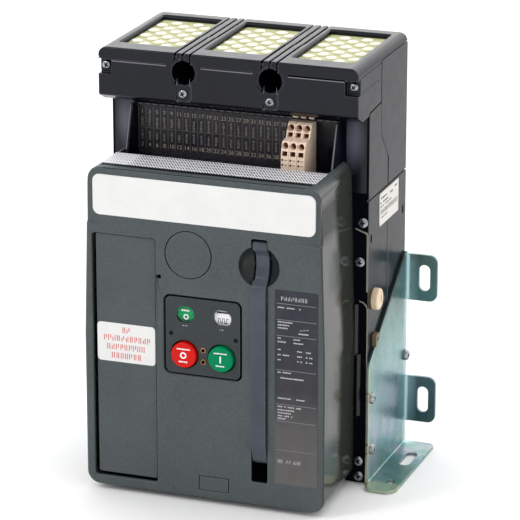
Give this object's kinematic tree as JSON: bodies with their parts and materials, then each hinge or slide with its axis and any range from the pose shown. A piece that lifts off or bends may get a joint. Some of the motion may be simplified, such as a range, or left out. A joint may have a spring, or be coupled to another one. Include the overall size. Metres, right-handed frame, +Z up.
{
  "type": "air circuit breaker",
  "caption": "Fixed-mounting three-pole air circuit breaker with front charging handle, push buttons, arc chutes and slotted side brackets.",
  "frame": {"origin": "under the middle of the breaker, at the centre of the bottom of its bounding box, on the surface that the feet stand on", "axes": "+X to the right of someone facing the front, +Z up, the front faces -Y"},
  "size_m": [0.266, 0.178, 0.341],
  "materials": {
    "moulding_black": "fine-textured dark moulded thermoset",
    "cover_grey": "fine-grained green-grey moulded cover",
    "vent_screen": "pale yellow-green perforated screen",
    "splitter_steel": "plated steel sheet",
    "copper": "silver-plated copper",
    "mechanism_steel": "zinc-plated steel",
    "spring_steel": "oiled spring steel",
    "handle_black": "smooth black glass-filled plastic",
    "off_red": "red gloss plastic",
    "on_green": "green gloss plastic",
    "flag_green": "green and red printed flag",
    "flag_white": "white and yellow printed flag",
    "panel_grey": "fine-grained grey moulded panel",
    "lens_clear": "clear window",
    "brass": "turned brass",
    "zinc_screw": "zinc-plated screw",
    "label_white": "blank white laminated label",
    "label_dark": "dark grey rating label with plain rules",
    "terminal_tan": "tan polyamide terminal housing",
    "bracket_zinc": "iridescent passivated zinc plate",
    "cap_tan": "tan plastic bearing cap"
  },
  "bodies": {
    "breaker_body": {"arc_chute_centre": "moulding_black", "arc_chute_left": "moulding_black", "arc_chute_right": "moulding_black", "blanking_panel": "cover_grey", "bracket_left": "bracket_zinc", "bracket_right": "bracket_zinc", "bracket_screws": "zinc_screw", "button_panel": "panel_grey", "caution_label": "label_white", "chute_screws": "zinc_screw", "closing_spring": "spring_steel", "contact_pivot_pins": "mechanism_steel", "counter_blank": "cover_grey", "flag_rod": "mechanism_steel", "flange_screws": "zinc_screw", "front_cover": "cover_grey", "front_housing": "moulding_black", "front_label_plate": "label_white", "indicator_lenses": "lens_clear", "lock_plug": "cover_grey", "lower_terminal_centre": "copper", "lower_terminal_left": "copper", "lower_terminal_right": "copper", "mechanism_plate_left": "mechanism_steel", "mechanism_plate_right": "mechanism_steel", "opening_spring": "spring_steel", "panel_screws": "zinc_screw", "panel_sockets": "brass", "rating_plate": "label_dark", "rear_housing": "moulding_black", "shaft_caps": "cap_tan", "side_label": "label_white", "spacer_rods": "mechanism_steel", "splitter_plates_centre": "splitter_steel", "splitter_plates_left": "splitter_steel", "splitter_plates_right": "splitter_steel", "terminal_carrier": "moulding_black", "terminal_label": "label_white", "upper_terminal_centre": "copper", "upper_terminal_left": "copper", "upper_terminal_right": "copper", "vent_screen_centre": "vent_screen", "vent_screen_left": "vent_screen", "vent_screen_right": "vent_screen", "wiring_block": "terminal_tan"},
    "charging_lever": {"charging_handle": "handle_black"},
    "camshaft": {"cam_shaft": "mechanism_steel", "closing_cam": "mechanism_steel", "ratchet_wheel": "mechanism_steel"},
    "pole_shaft_body": {"pole_shaft": "mechanism_steel"},
    "off_push": {"off_button": "off_red"},
    "on_push": {"on_button": "on_green"},
    "trip_latch": {"trip_shaft": "mechanism_steel"},
    "close_latch": {"close_shaft": "mechanism_steel"},
    "contact_indicator": {"contact_flag": "flag_green"},
    "charge_indicator": {"charge_flag": "flag_white"},
    "contact_arm_left": {"moving_contact_left": "copper"},
    "contact_arm_centre": {"moving_contact_centre": "copper"},
    "contact_arm_right": {"moving_contact_right": "copper"}
  },
  "joints": [
    {"name": "handle_swing", "type": "hinge", "parent": "breaker_body", "child": "charging_lever", "pos_m": [0, -0.061, 0.06], "axis": [1, 0, 0], "range_deg": [0, 70], "stiffness_Nm_per_rad": 0.5, "springref_deg": -20.05},
    {"name": "cam_turn", "type": "hinge", "parent": "breaker_body", "child": "camshaft", "pos_m": [0, -0.061, 0.06], "axis": [1, 0, 0], "continuous": true},
    {"name": "pole_shaft_turn", "type": "hinge", "parent": "breaker_body", "child": "pole_shaft_body", "pos_m": [0, 0.0108, 0.148], "axis": [1, 0, 0], "range_deg": [-35, 0], "stiffness_Nm_per_rad": 1, "springref_deg": 17.19},
    {"name": "contact_left_swing", "type": "hinge", "parent": "breaker_body", "child": "contact_arm_left", "pos_m": [0, 0.067, 0.1], "axis": [1, 0, 0], "range_deg": [-8, 0]},
    {"name": "contact_centre_swing", "type": "hinge", "parent": "breaker_body", "child": "contact_arm_centre", "pos_m": [0, 0.067, 0.1], "axis": [1, 0, 0], "range_deg": [-8, 0]},
    {"name": "contact_right_swing", "type": "hinge", "parent": "breaker_body", "child": "contact_arm_right", "pos_m": [0, 0.067, 0.1], "axis": [1, 0, 0], "range_deg": [-8, 0]},
    {"name": "contact_flag_turn", "type": "hinge", "parent": "breaker_body", "child": "contact_indicator", "pos_m": [0, -0.069, 0.152], "axis": [1, 0, 0], "range_deg": [-70, 0]},
    {"name": "charge_flag_turn", "type": "hinge", "parent": "breaker_body", "child": "charge_indicator", "pos_m": [0, -0.069, 0.152], "axis": [1, 0, 0], "range_deg": [-70, 0]},
    {"name": "off_button_press", "type": "slide", "parent": "breaker_body", "child": "off_push", "axis": [0, 1, 0], "range_m": [0, 0.004], "stiffness_N_per_m": 600, "springref_m": -0.002},
    {"name": "on_button_press", "type": "slide", "parent": "breaker_body", "child": "on_push", "axis": [0, 1, 0], "range_m": [0, 0.004], "stiffness_N_per_m": 600, "springref_m": -0.002},
    {"name": "trip_latch_turn", "type": "hinge", "parent": "breaker_body", "child": "trip_latch", "pos_m": [0, -0.051, 0.104], "axis": [1, 0, 0], "range_deg": [-18, 0]},
    {"name": "close_latch_turn", "type": "hinge", "parent": "breaker_body", "child": "close_latch", "pos_m": [0, -0.051, 0.136], "axis": [1, 0, 0], "range_deg": [0, 18]}
  ],
  "couplings": [
    {"joint": "contact_left_swing", "follows": "pole_shaft_turn", "ratio": 0.22855},
    {"joint": "contact_centre_swing", "follows": "pole_shaft_turn", "ratio": 0.22855},
    {"joint": "contact_right_swing", "follows": "pole_shaft_turn", "ratio": 0.22855},
    {"joint": "contact_flag_turn", "follows": "pole_shaft_turn", "ratio": 2},
    {"joint": "trip_latch_turn", "follows": "off_button_press", "rad_per_m": -78.5},
    {"joint": "close_latch_turn", "follows": "on_button_press", "rad_per_m": 78.5}
  ]
}
